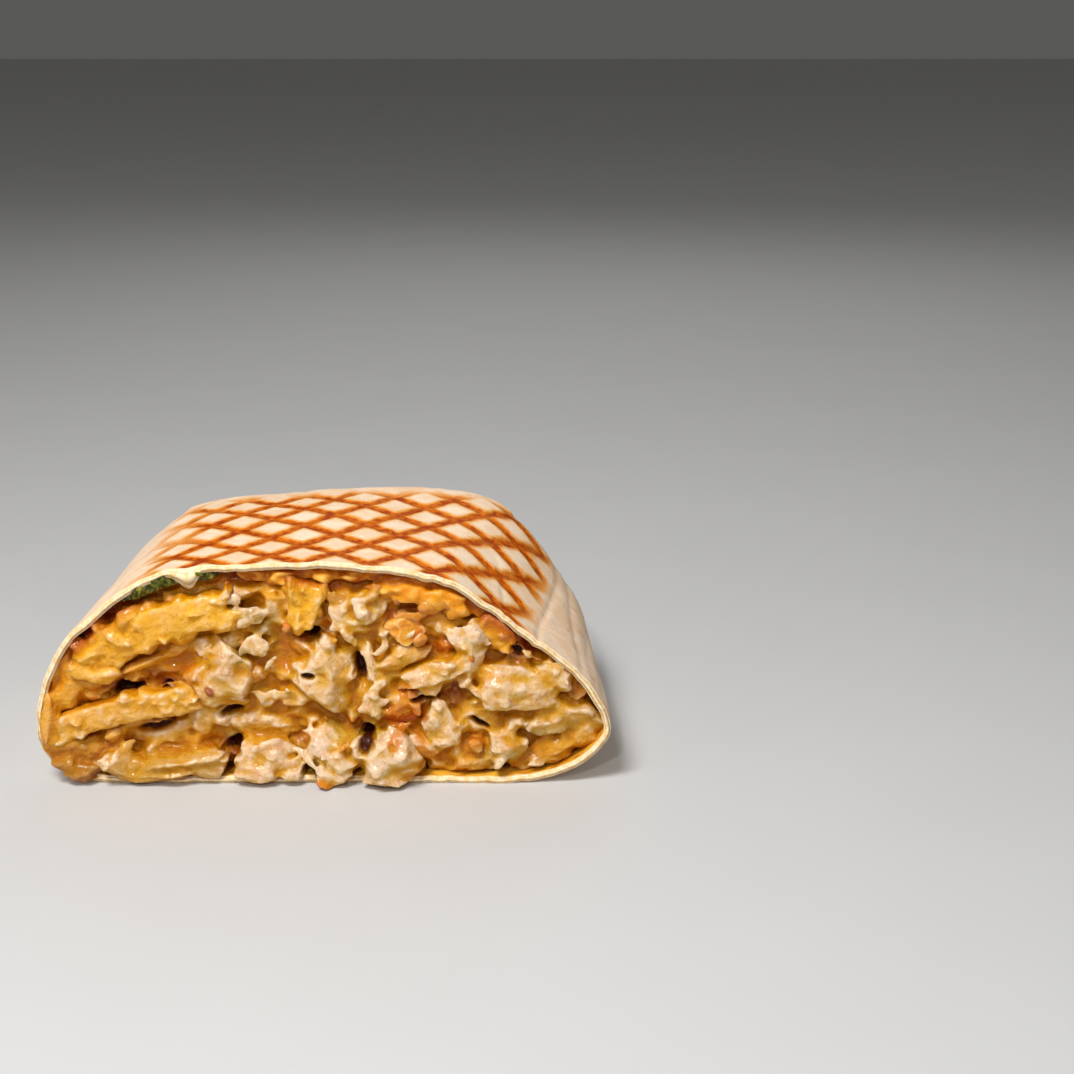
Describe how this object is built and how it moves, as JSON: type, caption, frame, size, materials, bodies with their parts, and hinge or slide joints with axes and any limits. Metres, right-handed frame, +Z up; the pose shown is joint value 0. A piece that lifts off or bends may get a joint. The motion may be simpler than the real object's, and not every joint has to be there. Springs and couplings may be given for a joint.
{
  "type": "french tacos",
  "caption": "Half of a folded, grilled flour tortilla parcel cut across: closed at the back, open at the cut to chicken, fries, melted cheese and herb sauce. Lies flat on its underside.",
  "frame": {"origin": "middle of the underside of the bounding box, on the surface that the parcel rests on", "axes": "+X to the right along the cut face, +Y away from the viewer towards the closed end, +Z up; the cut face looks towards -Y"},
  "size_m": [0.1244, 0.0778, 0.0511],
  "materials": {
    "tortilla": "floury cream tortilla with golden brown grill marks",
    "chicken": "moist pale chicken coated in sauce",
    "cheese_sauce": "glossy amber cheese sauce",
    "herb_sauce": "wet dark green chopped herbs",
    "cheddar": "soft melted cheddar",
    "fries": "golden fried potato with a coat of cheese sauce"
  },
  "bodies": {
    "root": {"tortilla": "tortilla", "chicken_filling": "chicken", "cheese_sauce": "cheese_sauce", "herb_sauce": "herb_sauce", "cheddar": "cheddar", "fry_1": "fries", "fry_2": "fries", "fry_3": "fries", "fry_4": "fries"}
  },
  "joints": []
}
